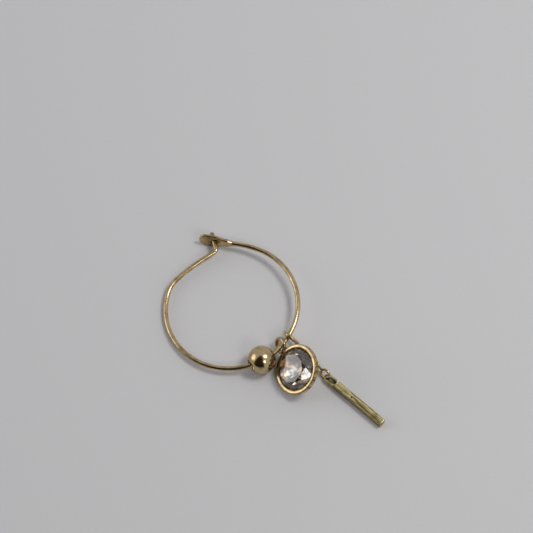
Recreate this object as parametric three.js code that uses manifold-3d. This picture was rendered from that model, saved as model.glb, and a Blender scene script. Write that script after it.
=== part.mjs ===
// A dangle hoop earring lying on a table: a hooked wire hoop that carries a bead, a bezel-set stone and,
// on a short chain, a slim bar. Millimetres, +Z up. The table is z = 0. Everything is placed from the
// hoop's centre, and the whole group is then moved so that its box stands centred on the origin.
import * as THREE from "three";
import { mergeVertices } from "three/addons/utils/BufferGeometryUtils.js";
import Module from "manifold-3d";

const wasm = await Module();
wasm.setup();

// ---- driving dimensions ----
const HOOP_R = 9.65; // centreline radius, so the hoop is 20 mm across
const WIRE_R = 0.35;
const HOOP_CENTRE_Z = 1.43;
const HOOP_SLOPE = 0.085; // radians: the side with the drops is held up by the bead and the rings
const WIRE_SIDES = 16;

const BEAD = { radius: 2.05, holeRadius: 0.95, angle: -66.5, turn: 28.5, tilt: -0.5 };

const STONE = { radius: 3.25, girdle: 0.1, girdleTop: -0.5, tableRadius: 2.12, tableHeight: 1.5,
  starRadius: 2.5, culetDepth: 2.6, lowerTipRadius: 0.8 };
const CUP = { radius: 3.64, lipRadius: 3.06, wallRadius: 3.32, collar: 0.7, slope: 40, backRadius: 1.25,
  wall: 0.27, x: 8.52, y: -10.99, leanAzimuth: -168 };
const CUP_RING = { radius: 1.0, wire: 0.28, out: 4.72, down: 0.2, angle: 17, turn: 25 };

const CHAIN_RING = { radius: 1.06, wire: 0.26, hoopAngle: -34.4, outward: 0.38, normal: [0.69, 0.66, 0.29] };

const BAR = { length: 11.05, width: 1.15, chamfer: 0.14, x: 12.7, y: -11.36, heading: -46.3 };
const EYE = { length: 2.7, width: 1.3, bottom: 0.48, top: 0.78, slotStart: 0.24, slotEnd: 2.1,
  slotWidth: 0.76 };
const BAR_RING = { radius: 0.8, wire: 0.18, along: 0.02, aside: 0.074, lean: 23, turn: 4.05 };

const CHAIN_R = 0.5;

const GOLD = { color: 0xc8a667, roughness: 0.25, metalness: 1 };
const GREEN_GOLD = { color: 0xb19a55, roughness: 0.32, metalness: 1 };
const CLEAR = { color: 0xe9e4e4, roughness: 0.03, metalness: 0 };

const UP = new THREE.Vector3(0, 0, 1);
const rad = THREE.MathUtils.degToRad;
const group = new THREE.Group();

// ---- helpers ----
function solidOf(geometry) {
  const bare = geometry.index ? geometry.clone() : mergeVertices(geometry);
  bare.deleteAttribute("normal");
  bare.deleteAttribute("uv");
  const merged = mergeVertices(bare, 1e-4);
  const mesh = new wasm.Mesh({
    numProp: 3,
    vertProperties: merged.attributes.position.array,
    triVerts: new Uint32Array(merged.index.array),
  });
  return new wasm.Manifold(mesh);
}

function geometryOf(solid) {
  const { vertProperties, triVerts } = solid.getMesh();
  const geometry = new THREE.BufferGeometry();
  geometry.setAttribute("position", new THREE.BufferAttribute(vertProperties, 3));
  geometry.setIndex(new THREE.BufferAttribute(triVerts, 1));
  geometry.computeVertexNormals();
  return geometry;
}

function place(name, geometry, finish, parent) {
  const mesh = new THREE.Mesh(geometry, new THREE.MeshStandardMaterial(finish));
  mesh.name = name;
  parent.add(mesh);
  return mesh;
}

// A group whose own +Z points along the normal.
function facing(normal, position) {
  const holder = new THREE.Group();
  holder.quaternion.setFromUnitVectors(UP, normal.clone().normalize());
  holder.position.copy(position);
  group.add(holder);
  return holder;
}

// ---- the hoop's wire ----
const BEND = { x: -2.25, y: 9.34, radius: 0.5, from: 13.5, to: -62 }; // where the hook turns down
const paddle = { start: [0.6, 9.95], end: [-4.1, 11.3], hole: [-2.12, 10.73], holeRadius: 0.56 };

// The centreline in the hoop's plane, from the hook's tip round to the paddle's end.
function hoopPath() {
  const path = new THREE.Path();
  path.moveTo(-2.28, 12.1);
  path.lineTo(...onCircle(BEND.x, BEND.y, BEND.radius, BEND.from));
  path.absarc(BEND.x, BEND.y, BEND.radius, rad(BEND.from), rad(BEND.to), true);
  path.bezierCurveTo(-4.84, 7.4, -8.23, 5.37, ...onCircle(0, 0, HOOP_R, 158));
  path.absarc(0, 0, HOOP_R, rad(158), rad(62 + 360), false);
  path.quadraticCurveTo(2.57, 9.56, ...paddle.start);
  path.lineTo(...paddle.end);
  return path;
}

function onCircle(x, y, radius, angle) {
  return [x + radius * Math.cos(rad(angle)), y + radius * Math.sin(rad(angle))];
}

const STEPS_PER_STRETCH = [7, 8, 12, 54, 5, 18];

// Stations along the centreline: point, direction and the distances from the two ends.
function stationsOf(path) {
  const lengths = path.curves.map((c) => c.getLength());
  const total = lengths.reduce((a, b) => a + b, 0);
  const stations = [];
  let before = 0;
  path.curves.forEach((curve, i) => {
    const steps = STEPS_PER_STRETCH[i];
    for (let k = i ? 1 : 0; k <= steps; k++) {
      const share = evenOrEased(k / steps, i, path.curves.length);
      const done = before + share * lengths[i];
      stations.push({ point: curve.getPointAt(share), along: curve.getTangentAt(share),
        fromTip: done, fromPaddle: total - done });
    }
    before += lengths[i];
  });
  return stations;
}

// The two end stretches have closer stations towards their rounded ends.
function evenOrEased(t, index, count) {
  if (index === 0) return 1 - Math.cos((t * Math.PI) / 2);
  return index === count - 1 ? Math.sin((t * Math.PI) / 2) : t;
}

// Distance from the paddle's end, half width, half thickness, how flat-sided the section is (1 is an
// ellipse, less is squarer) and its twist in degrees.
const PADDLE_PROFILE = [
  { from: 0, wide: 1.18, thick: 0.23, power: 0.5, twist: 14 },
  { from: 2.2, wide: 1.18, thick: 0.25, power: 0.5, twist: 14 },
  { from: 4.2, wide: 0.74, thick: 0.32, power: 0.6, twist: 10 },
  { from: 5.1, wide: 0.4, thick: 0.35, power: 0.9, twist: 4 },
  { from: 5.9, wide: WIRE_R, thick: WIRE_R, power: 1, twist: 0 },
];
const PADDLE_ROUND = 1.0; // radius of the paddle's rounded end
const PADDLE_EDGE = 0.15; // radius of the edge round that end

function sectionAt(from) {
  const after = PADDLE_PROFILE.findIndex((row) => row.from > from);
  if (after < 0) return PADDLE_PROFILE.at(-1);
  const a = PADDLE_PROFILE[after - 1];
  const b = PADDLE_PROFILE[after];
  const t = THREE.MathUtils.smoothstep(from, a.from, b.from);
  const between = (key) => THREE.MathUtils.lerp(a[key], b[key], t);
  return { wide: between("wide"), thick: between("thick"), power: between("power"), twist: between("twist") };
}

// The share of its full size that a rounded end of this radius has at a distance from its end.
function roundedEnd(distance, radius) {
  const d = Math.min(distance / radius, 1);
  return Math.max(Math.sqrt(d * (2 - d)), 0.12);
}

function squarer(value, power) {
  return Math.sign(value) * Math.abs(value) ** power;
}

// A straight cylinder whose rings of vertices are carried onto the stations.
function sweep(stations) {
  const steps = stations.length - 1;
  const geometry = new THREE.CylinderGeometry(1, 1, 1, WIRE_SIDES, steps);
  const position = geometry.attributes.position;
  for (let i = 0; i < position.count; i++) {
    const { point, along, fromTip, fromPaddle } = stations[Math.round((0.5 - position.getY(i)) * steps)];
    const { wide, thick, power, twist } = sectionAt(fromPaddle);
    const tip = roundedEnd(fromTip, WIRE_R);
    const across = -squarer(position.getX(i), power) * tip * thick * roundedEnd(fromPaddle, PADDLE_EDGE);
    const up = squarer(position.getZ(i), power) * tip * wide * roundedEnd(fromPaddle, PADDLE_ROUND);
    const section = new THREE.Vector2(across, up).rotateAround(new THREE.Vector2(), -rad(twist));
    position.setXYZ(i, point.x + along.y * section.x, point.y - along.x * section.x, section.y);
  }
  return solidOf(geometry);
}

// The hook passes through the paddle's hole, so the two ends are made apart and joined half way round.
function hoopWire() {
  const stations = stationsOf(hoopPath());
  const half = Math.floor(stations.length / 2);
  const hookEnd = sweep(stations.slice(0, half + 1));
  const paddleEnd = sweep(stations.slice(half));
  return hookEnd.add(paddleEnd.subtract(paddleHole()));
}

function paddleHole() {
  const along = new THREE.Vector2(...paddle.end).sub(new THREE.Vector2(...paddle.start));
  const hole = new THREE.CylinderGeometry(paddle.holeRadius, paddle.holeRadius, 2, 24);
  hole.rotateZ(along.angle());
  hole.translate(...paddle.hole, 0);
  return solidOf(hole);
}

const hoop = new THREE.Group();
hoop.position.z = HOOP_CENTRE_Z;
hoop.rotation.y = -HOOP_SLOPE;
group.add(hoop);
place("hoop_wire", geometryOf(hoopWire()), GOLD, hoop);

// A point of the hoop's centreline and its outward radius, in the table's frame.
function hoopFrame(angle) {
  const out = new THREE.Vector3(Math.cos(rad(angle)), Math.sin(rad(angle)), 0).applyEuler(hoop.rotation);
  return { point: out.clone().multiplyScalar(HOOP_R).add(hoop.position), out };
}

// ---- the bead ----
function beadProfile() {
  const edge = Math.acos(BEAD.holeRadius / BEAD.radius) - 0.05;
  const half = BEAD.radius * Math.sin(edge);
  const points = [new THREE.Vector2(BEAD.holeRadius, -half + 0.12)];
  const steps = 18;
  for (let i = 0; i <= steps; i++) {
    const a = -edge + (2 * edge * i) / steps;
    points.push(new THREE.Vector2(BEAD.radius * Math.cos(a), BEAD.radius * Math.sin(a)));
  }
  points.push(new THREE.Vector2(BEAD.holeRadius, half - 0.12), points[0]);
  return points;
}

function addBead() {
  const turn = rad(BEAD.turn);
  const tilt = rad(BEAD.tilt);
  const level = Math.cos(tilt);
  const axis = new THREE.Vector3(level * Math.cos(turn), level * Math.sin(turn), Math.sin(tilt));
  const { point } = hoopFrame(BEAD.angle);
  const holder = facing(axis, new THREE.Vector3(point.x, point.y, BEAD.radius));
  const geometry = new THREE.LatheGeometry(beadProfile(), 36).rotateX(Math.PI / 2);
  place("round_bead", geometryOf(solidOf(geometry)), GOLD, holder);
}
addBead();

// ---- the stone and its cup, in a frame whose +Z is their axis and whose rim is z = 0 ----
const lean = rad(CUP.slope);
const cupNormal = new THREE.Vector3(
  Math.sin(lean) * Math.cos(rad(CUP.leanAzimuth)),
  Math.sin(lean) * Math.sin(rad(CUP.leanAzimuth)),
  Math.cos(lean),
);
const rimHeight = CUP.radius * Math.sin(lean) + CUP.collar * Math.cos(lean);
const cupLevel = new THREE.Vector3().crossVectors(cupNormal, UP).normalize();
const cupDown = new THREE.Vector3().crossVectors(cupNormal, cupLevel);
const cup = new THREE.Group();
cup.setRotationFromMatrix(new THREE.Matrix4().makeBasis(cupLevel, cupDown, cupNormal));
cup.position.set(CUP.x, CUP.y, rimHeight);
group.add(cup);

function polar(radius, angle, z) {
  return new THREE.Vector3(radius * Math.cos(rad(angle)), radius * Math.sin(rad(angle)), z);
}

// Cuts away what lies on the far side of the plane through three points, seen from the axis.
function cutFacet(solid, a, b, c) {
  const normal = new THREE.Vector3().subVectors(b, a).cross(new THREE.Vector3().subVectors(c, a)).normalize();
  const middle = STONE.girdleTop;
  if (normal.dot(new THREE.Vector3(0, 0, middle).sub(a)) > 0) normal.negate();
  const size = 12;
  const block = new THREE.BoxGeometry(size, size, size).translate(0, 0, size / 2);
  block.applyQuaternion(new THREE.Quaternion().setFromUnitVectors(UP, normal));
  block.translate(a.x, a.y, a.z);
  return solid.subtract(solidOf(block));
}

// Eight rounds of one half's main, star and girdle facets. The main facets run from the inner radius
// and height to the girdle; the halves meet over the tip radius midway between them.
function cutHalf(solid, girdleZ, inner, tipRadius, withStars) {
  const slope = (inner.z - girdleZ) / (STONE.radius - inner.radius);
  const turn = 22.5;
  const tipZ = inner.z - slope * (tipRadius * Math.cos(rad(turn)) - inner.radius);
  const innerAt = (angle) => polar(inner.radius, angle, inner.z);
  for (let angle = 0; angle < 360; angle += 45) {
    const low = polar(STONE.radius, angle, girdleZ);
    const side = polar(STONE.radius * Math.cos(rad(turn)), angle + 90, 0);
    solid = cutFacet(solid, low, low.clone().add(side), innerAt(angle));
    const tip = polar(tipRadius, angle + turn, tipZ);
    const between = polar(STONE.radius, angle + turn, girdleZ);
    solid = cutFacet(solid, low, between, tip);
    solid = cutFacet(solid, between, polar(STONE.radius, angle + 45, girdleZ), tip);
    if (withStars)
      solid = cutFacet(solid, innerAt(angle), innerAt(angle + 45), tip);
  }
  return solid;
}

function brilliantStone() {
  const top = STONE.girdleTop + STONE.tableHeight;
  const girdleBottom = STONE.girdleTop - STONE.girdle;
  const culet = girdleBottom - STONE.culetDepth;
  const blank = new THREE.CylinderGeometry(STONE.radius, STONE.radius, top - culet, 48).rotateX(Math.PI / 2);
  blank.translate(0, 0, (top + culet) / 2);
  let stone = solidOf(blank);
  stone = cutHalf(stone, STONE.girdleTop, { radius: STONE.tableRadius, z: top }, STONE.starRadius, true);
  return cutHalf(stone, girdleBottom, { radius: 0.05, z: culet + 0.04 }, STONE.lowerTipRadius, false);
}
place("round_stone", geometryOf(brilliantStone()), CLEAR, cup);

function cupProfile() {
  const slope = Math.tan(lean);
  const depthAt = (r) => -CUP.collar - (CUP.radius - r) * slope;
  const inward = CUP.wall / Math.cos(lean);
  return [
    [CUP.lipRadius, -0.1], [CUP.lipRadius + 0.08, -0.03], [CUP.lipRadius + 0.25, 0],
    [CUP.radius - 0.06, -0.06], [CUP.radius, -0.2],
    [CUP.radius, -CUP.collar], [CUP.backRadius, depthAt(CUP.backRadius)],
    [CUP.backRadius - 0.2, depthAt(CUP.backRadius) + inward - 0.14],
    [CUP.wallRadius, depthAt(CUP.wallRadius) + inward], [CUP.wallRadius, -0.26], [CUP.lipRadius, -0.1],
  ].map(([r, z]) => new THREE.Vector2(r, z)).reverse();
}

// The cup with the ring soldered to its collar, which the hoop's wire runs through.
function bezelSetting() {
  const shell = new THREE.LatheGeometry(cupProfile(), 56).rotateX(Math.PI / 2);
  const ring = new THREE.TorusGeometry(CUP_RING.radius, CUP_RING.wire, 10, 30).rotateX(-rad(CUP_RING.turn));
  ring.translate(CUP_RING.out, 0, -CUP_RING.down);
  ring.rotateZ(rad(CUP_RING.angle));
  return solidOf(shell).add(solidOf(ring));
}
place("bezel_setting", geometryOf(bezelSetting()), GOLD, cup);

// ---- the jump ring that hangs the chain from the hoop ----
function ringAt(name, normal, centre, radius, wire) {
  const ring = new THREE.TorusGeometry(radius, wire, 10, 30);
  place(name, geometryOf(solidOf(ring)), GOLD, facing(normal, centre));
}

function addChainRing() {
  const { point, out } = hoopFrame(CHAIN_RING.hoopAngle);
  const normal = new THREE.Vector3(...CHAIN_RING.normal).normalize();
  const pull = out.clone().add(new THREE.Vector3(0, 0, -0.35)).projectOnPlane(normal).normalize();
  const centre = point.clone().addScaledVector(pull, CHAIN_RING.outward);
  ringAt("chain_jump_ring", normal, centre, CHAIN_RING.radius, CHAIN_RING.wire);
}
addChainRing();

// ---- the bar, in a frame whose +X runs from its eye to its free end ----
const bar = new THREE.Group();
bar.position.set(BAR.x, BAR.y, 0);
bar.rotation.z = rad(BAR.heading);
group.add(bar);

function chamferedSquare(width, chamfer) {
  const w = width / 2;
  const c = w - chamfer;
  const shape = new THREE.Shape();
  [[c, -w], [w, -c], [w, c], [c, w], [-c, w], [-w, c], [-w, -c], [-c, -w]].forEach(([x, y], i) =>
    i ? shape.lineTo(x, y) : shape.moveTo(x, y));
  return shape;
}

function slotted(width, from, to) {
  const r = width / 2;
  const outline = new THREE.Path();
  outline.absarc(from + r, 0, r, Math.PI / 2, (3 * Math.PI) / 2, false);
  outline.absarc(to - r, 0, r, -Math.PI / 2, Math.PI / 2, false);
  return outline;
}

function eyePlate() {
  const outline = slotted(EYE.width, 0, EYE.length);
  const shape = new THREE.Shape(outline.getPoints(10));
  shape.holes.push(new THREE.Path(slotted(EYE.slotWidth, EYE.slotStart, EYE.slotEnd).getPoints(6)));
  const plate = new THREE.ExtrudeGeometry(shape, { depth: EYE.top - EYE.bottom, bevelEnabled: false });
  return solidOf(plate.translate(0, 0, EYE.bottom));
}

function barPendant() {
  const start = EYE.slotEnd + 0.15;
  const body = new THREE.ExtrudeGeometry(chamferedSquare(BAR.width, BAR.chamfer),
    { depth: BAR.length - start, bevelEnabled: false });
  body.rotateY(Math.PI / 2).translate(start, 0, BAR.width / 2);
  return solidOf(body).add(eyePlate());
}
place("bar_pendant", geometryOf(barPendant()), GREEN_GOLD, bar);

function addBarRing() {
  const tilt = rad(BAR_RING.lean);
  const centre = new THREE.Vector3(BAR_RING.along, BAR_RING.aside, 0);
  const normal = new THREE.Vector3(0, -Math.cos(tilt), Math.sin(tilt)).applyAxisAngle(UP, rad(BAR_RING.turn));
  centre.z = BAR_RING.radius * Math.cos(tilt) + BAR_RING.wire + 0.01;
  bar.updateMatrixWorld(true);
  normal.transformDirection(bar.matrixWorld);
  ringAt("bar_jump_ring", normal, bar.localToWorld(centre), BAR_RING.radius, BAR_RING.wire);
}
addBarRing();

// ---- the short chain, as one tube along its route ----
const CHAIN_ROUTE = [ // from the ring on the hoop to the ring on the bar, lying on the table behind the cup
  { x: 9.05, y: -6.95, z: 1.15 },
  { x: 9.7, y: -7.6, z: 0.68 },
  { x: 10.7, y: -8.35, z: 0.54 },
  { x: 11.45, y: -9.1, z: 0.56 },
  { x: 11.75, y: -9.75, z: 0.7 },
];

function barChain() {
  const route = new THREE.CatmullRomCurve3(CHAIN_ROUTE.map(({ x, y, z }) => new THREE.Vector3(x, y, z)));
  const section = new THREE.Shape().absarc(0, 0, CHAIN_R, 0, 2 * Math.PI, false);
  const outline = new THREE.Shape(section.getSpacedPoints(8).slice(0, -1));
  return new THREE.ExtrudeGeometry(outline, { steps: 16, extrudePath: route });
}
place("bar_chain", geometryOf(solidOf(barChain())), GOLD, group);

// ---- stand the whole on the origin ----
group.updateMatrixWorld(true);
const box = new THREE.Box3().setFromObject(group, true);
const middle = box.getCenter(new THREE.Vector3());
group.position.set(-middle.x, -middle.y, -box.min.z);

export default group;
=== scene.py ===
"""A dangle hoop earring on a table: hooked hoop, round bead, bezel-set stone and chain-hung bar."""

import math

import bmesh
import bpy
from mathutils import Matrix, Vector, noise


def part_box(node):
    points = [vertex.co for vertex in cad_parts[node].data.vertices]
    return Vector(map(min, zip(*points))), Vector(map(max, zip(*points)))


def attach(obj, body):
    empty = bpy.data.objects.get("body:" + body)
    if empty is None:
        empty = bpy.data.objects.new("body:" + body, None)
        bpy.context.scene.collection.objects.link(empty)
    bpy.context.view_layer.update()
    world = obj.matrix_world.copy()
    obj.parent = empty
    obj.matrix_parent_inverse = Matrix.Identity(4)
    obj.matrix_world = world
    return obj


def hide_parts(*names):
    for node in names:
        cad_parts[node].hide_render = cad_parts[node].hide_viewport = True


bl_info = {
    "name": "Dangle Hoop Earring",
    "version": (1, 0, 0),
    "blender": (4, 5, 0),
    "location": "View3D > Sidebar > Earring",
    "description": "Builds a gold hoop earring with a bead, a bezel-set stone and a bar on a short chain",
    "category": "Object",
}

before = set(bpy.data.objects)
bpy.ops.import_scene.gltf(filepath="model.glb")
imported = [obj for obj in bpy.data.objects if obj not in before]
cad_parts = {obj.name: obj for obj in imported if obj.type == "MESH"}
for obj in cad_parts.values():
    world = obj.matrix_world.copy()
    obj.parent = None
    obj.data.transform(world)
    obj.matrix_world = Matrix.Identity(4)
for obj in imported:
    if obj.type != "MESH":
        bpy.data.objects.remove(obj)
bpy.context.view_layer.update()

BODY = "root"
MM = 0.001
UP = Vector((0.0, 0.0, 1.0))


# ---- settings a user would change ----
def linear(text):
    """An sRGB colour written as RRGGBB, as the linear colour that shaders use."""
    parts = [int(text[i : i + 2], 16) / 255 for i in (0, 2, 4)]
    return tuple(c / 12.92 if c <= 0.04045 else ((c + 0.055) / 1.055) ** 2.4 for c in parts) + (1.0,)


def length(name, millimetres, text):
    return bpy.props.FloatProperty(
        name=name, description=text, default=millimetres * MM, precision=5, unit="LENGTH"
    )


def angle(name, degrees, text):
    return bpy.props.FloatProperty(
        name=name, description=text, default=math.radians(degrees), subtype="ANGLE"
    )


def colour(name, text, use):
    return bpy.props.FloatVectorProperty(
        name=name, description=use, default=linear(text), size=4, min=0.0, max=1.0, subtype="COLOR"
    )


class HoopSettings(bpy.types.PropertyGroup):
    radius: length("Radius", 9.65, "Centre of the hoop to the middle of its wire")
    wire: length("Wire Radius", 0.35, "Half the thickness of the drawn wire")
    height: length("Centre Height", 1.43, "Height of the hoop's centre above the table")
    slope: angle("Slope", 4.87, "How much the side with the drops is held up")
    paddle_width: length("Clasp Half Width", 1.18, "Half the width of the flattened end")
    paddle_hole: length("Clasp Hole Radius", 0.56, "Radius of the hole that takes the hook")


class BeadSettings(bpy.types.PropertyGroup):
    radius: length("Radius", 2.05, "Radius of the hollow bead")
    hole: length("Hole Radius", 0.95, "Radius of the holes that the wire passes through")
    wall: length("Wall", 0.16, "Thickness of the pressed sheet")
    place: angle("Place on Hoop", -66.5, "Where the bead sits round the hoop")
    turn: angle("Turn", 28.5, "Direction of the bead's bore along the table")
    tilt: angle("Tilt", -0.5, "Rise of the bead's bore from the table")


class SettingSettings(bpy.types.PropertyGroup):
    radius: length("Radius", 3.64, "Outer radius of the bezel's collar")
    lip: length("Lip Radius", 3.06, "Inner radius of the rim rolled over the stone")
    collar: length("Collar", 0.7, "Height of the straight wall under the rim")
    wall: length("Wall", 0.27, "Thickness of the cup's sloping back")
    back: length("Back Opening", 1.25, "Radius of the opening behind the stone")
    slope: angle("Slope", 40.0, "How far the cup leans over from lying flat")
    lean: angle("Lean Direction", -168.0, "Direction in which the stone faces")
    x: length("Place X", 8.52, "Rim centre from the hoop's centre, along X")
    y: length("Place Y", -10.99, "Rim centre from the hoop's centre, along Y")
    ring: length("Ring Radius", 1.0, "Radius of the ring soldered to the collar")
    ring_wire: length("Ring Wire Radius", 0.28, "Half the thickness of that ring's wire")
    ring_out: length("Ring Distance", 4.72, "Centre of the cup to the centre of the ring")


class StoneSettings(bpy.types.PropertyGroup):
    radius: length("Radius", 3.25, "Radius of the stone at its girdle")
    girdle: length("Girdle", 0.1, "Thickness of the girdle")
    depth: length("Girdle Depth", 0.5, "Depth of the girdle's top below the rim")
    table: length("Table Radius", 2.12, "Radius of the flat top facet")
    crown: length("Crown Height", 1.5, "Height of the table above the girdle")
    dome: length("Table Dome", 0.08, "Rise of the slightly domed table over its edge")
    pavilion: length("Pavilion Depth", 2.6, "Depth of the point below the girdle")


class RingSettings(bpy.types.PropertyGroup):
    upper: length("Upper Radius", 1.06, "Radius of the ring that hangs the chain from the hoop")
    upper_wire: length("Upper Wire Radius", 0.26, "Half the thickness of its wire")
    lower: length("Lower Radius", 0.8, "Radius of the ring that holds the bar")
    lower_wire: length("Lower Wire Radius", 0.18, "Half the thickness of its wire")
    place: angle("Place on Hoop", -34.4, "Where the upper ring sits round the hoop")


class ChainSettings(bpy.types.PropertyGroup):
    wire: length("Wire Radius", 0.15, "Half the thickness of a link's wire")
    width: length("Link Half Width", 0.36, "Middle of a link to the middle of its wire")
    links: bpy.props.IntProperty(name="Links", description="Number of links", default=5, min=2, max=9)


class BarSettings(bpy.types.PropertyGroup):
    length: length("Length", 11.05, "Whole length with the eye")
    width: length("Width", 1.15, "Side of the square bar")
    x: length("Place X", 12.7, "Start of the eye from the hoop's centre, along X")
    y: length("Place Y", -11.36, "Start of the eye from the hoop's centre, along Y")
    heading: angle("Heading", -46.3, "Direction of the bar along the table")
    hammer: length("Hammer Depth", 0.02, "Depth of the soft dents left by hand finishing")


class FinishSettings(bpy.types.PropertyGroup):
    gold: colour("Yellow Gold", "CDB68B", "Polished yellow gold of the hoop, bead, cup and rings")
    tarnish: colour("Handled Gold", "A08A5C", "The duller tone between the polished places")
    green_gold: colour("Green Gold", "D3C492", "The greener alloy of the bar")
    green_dull: colour("Green Gold Hollows", "8E7E4C", "Tone of the bar's dents and lines")
    stone: colour("Stone", "E0C4A8", "Faint peach tint of the clear stone")
    board: colour("Table", "D8D8DA", "Pale board that the earring lies on")


def group(name, kind):
    return bpy.props.PointerProperty(name=name, type=kind)


class EarringSettings(bpy.types.PropertyGroup):
    hoop: group("Hoop", HoopSettings)
    bead: group("Bead", BeadSettings)
    setting: group("Setting", SettingSettings)
    stone: group("Stone", StoneSettings)
    rings: group("Jump Rings", RingSettings)
    chain: group("Chain", ChainSettings)
    bar: group("Bar", BarSettings)
    finish: group("Finishes", FinishSettings)


# ---- shaping, all in millimetres from the hoop's centre until a piece is finished ----
def mm(metres):
    return metres / MM


def on_circle(x, y, radius, degrees):
    turn = math.radians(degrees)
    return Vector((x + radius * math.cos(turn), y + radius * math.sin(turn)))


def polar(radius, turn, z):
    return Vector((radius * math.cos(turn), radius * math.sin(turn), z))


def arc(x, y, radius, start, end, steps):
    """Points of an arc, both ends included."""
    return [on_circle(x, y, radius, start + (end - start) * i / steps) for i in range(steps + 1)]


def facing(normal, position):
    """The frame at a position whose Z points along the normal."""
    return Matrix.Translation(position) @ UP.rotation_difference(normal).to_matrix().to_4x4()


def smoothstep(value, low, high):
    t = min(max((value - low) / (high - low), 0.0), 1.0)
    return t * t * (3 - 2 * t)


def edges_of(verts):
    return list(dict.fromkeys(e for v in verts for e in v.link_edges))


def spin(bm, outline, degrees, steps):
    """Carries an outline round Z. A whole turn closes on its own start."""
    bmesh.ops.spin(
        bm, geom=outline, cent=(0, 0, 0), axis=UP, dvec=(0, 0, 0), angle=math.radians(degrees),
        steps=steps, use_merge=degrees == 360, use_duplicate=False,
    )


def lathe(bm, profile, steps):
    """Spins a closed outline of (radius, height) points once round Z."""
    verts = [bm.verts.new((r, 0.0, z)) for r, z in profile]
    edges = [bm.edges.new(pair) for pair in zip(verts, verts[1:] + verts[:1])]
    spin(bm, verts + edges, 360, steps)
    tidy(bm)


def wire_ring(bm, radius, wire, steps, gap_degrees=0.0, sides=20):
    """A round wire bent into a ring about Z. With a gap its two ends are closed and almost meet."""
    stand = Matrix.Translation((radius, 0, 0)) @ Matrix.Rotation(math.pi / 2, 4, "X")
    made = bmesh.ops.create_circle(bm, cap_ends=False, segments=sides, radius=wire, matrix=stand)["verts"]
    spin(bm, made + edges_of(made), 360 - gap_degrees, steps)
    bmesh.ops.holes_fill(bm, edges=[e for e in bm.edges if e.is_boundary], sides=0)
    tidy(bm)


def tidy(bm):
    bmesh.ops.remove_doubles(bm, verts=bm.verts, dist=1e-5)
    bmesh.ops.recalc_face_normals(bm, faces=bm.faces)


def pull_apart(bm, distance):
    """Moves the two halves of a ring apart along X, which makes it a long link with straight sides."""
    for side in (-1, 1):
        half = [v for v in bm.verts if v.co.x * side > 1e-4]
        bmesh.ops.translate(bm, verts=half, vec=(side * distance, 0, 0))


def sweep(bm, stations, sides, section):
    """Carries a ring of points along the stations. section(station, unit) places a unit circle's point."""
    verts = bmesh.ops.create_circle(bm, cap_ends=True, segments=sides, radius=1.0)["verts"]
    ring = {v: v.co.copy() for v in verts}
    edges = edges_of(verts)
    for v, unit in ring.items():
        v.co = section(stations[0], unit)
    for station in stations[1:]:
        made = bmesh.ops.extrude_edge_only(bm, edges=edges)["geom"]
        verts = [g for g in made if isinstance(g, bmesh.types.BMVert)]
        grown = {}
        for v in verts:
            parent = next(e.other_vert(v) for e in v.link_edges if e.other_vert(v) in ring)
            grown[v] = ring[parent]
        ring = grown
        edges = [
            g for g in made
            if isinstance(g, bmesh.types.BMEdge) and g.verts[0] in ring and g.verts[1] in ring
        ]
        for v, unit in ring.items():
            v.co = section(station, unit)
    bmesh.ops.edgeloop_fill(bm, edges=edges)
    tidy(bm)


def carry(bm, matrix):
    """Carries the whole shape to another frame."""
    bmesh.ops.transform(bm, matrix=matrix, verts=bm.verts)


def painted_shade_and_reflection(bm, amount):
    """Notes at each vertex how much painted shade and painted dark reflection darken it there, from 0 to 1.
    """
    layer = bm.verts.layers.float.get("painted_shade_and_reflection") or bm.verts.layers.float.new("painted_shade_and_reflection")
    for v in bm.verts:
        v[layer] = amount(v.co)


def join(bm, other):
    """Adds another shape to this one."""
    mesh = bpy.data.meshes.new("joined")
    other.to_mesh(mesh)
    bm.from_mesh(mesh)
    other.free()
    bpy.data.meshes.remove(mesh)


def cut_away(bm, cutter):
    """Cuts one closed shape out of another."""
    parts = []
    for shape in (bm, cutter):
        mesh = bpy.data.meshes.new("cut")
        shape.to_mesh(mesh)
        parts.append(bpy.data.objects.new("cut", mesh))
        bpy.context.scene.collection.objects.link(parts[-1])
    body, tool = parts
    modifier = body.modifiers.new("hole", "BOOLEAN")
    modifier.operation = "DIFFERENCE"
    modifier.solver = "EXACT"
    modifier.object = tool
    result = bpy.data.meshes.new_from_object(body.evaluated_get(bpy.context.evaluated_depsgraph_get()))
    bm.clear()
    bm.from_mesh(result)
    cutter.free()
    for part in parts:
        mesh = part.data
        bpy.data.objects.remove(part)
        bpy.data.meshes.remove(mesh)
    bpy.data.meshes.remove(result)
    if not bm.faces:
        raise RuntimeError("the cut left nothing")


def hoop_origin(settings):
    """The hoop's centre on the table, found from the bead that sits on its wire."""
    low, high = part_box("round_bead")
    out = on_circle(0, 0, mm(settings.hoop.radius), math.degrees(settings.bead.place))
    return Vector((
        mm((low.x + high.x) / 2) - out.x * math.cos(settings.hoop.slope),
        mm((low.y + high.y) / 2) - out.y,
        0.0,
    ))


def add_piece(bm, name, material):
    """Makes a shape into an object of the scene."""
    mesh = bpy.data.meshes.new(name)
    bm.to_mesh(mesh)
    bm.free()
    mesh.materials.append(material)
    piece = bpy.data.objects.new(name, mesh)
    bpy.context.scene.collection.objects.link(piece)
    return piece


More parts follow.
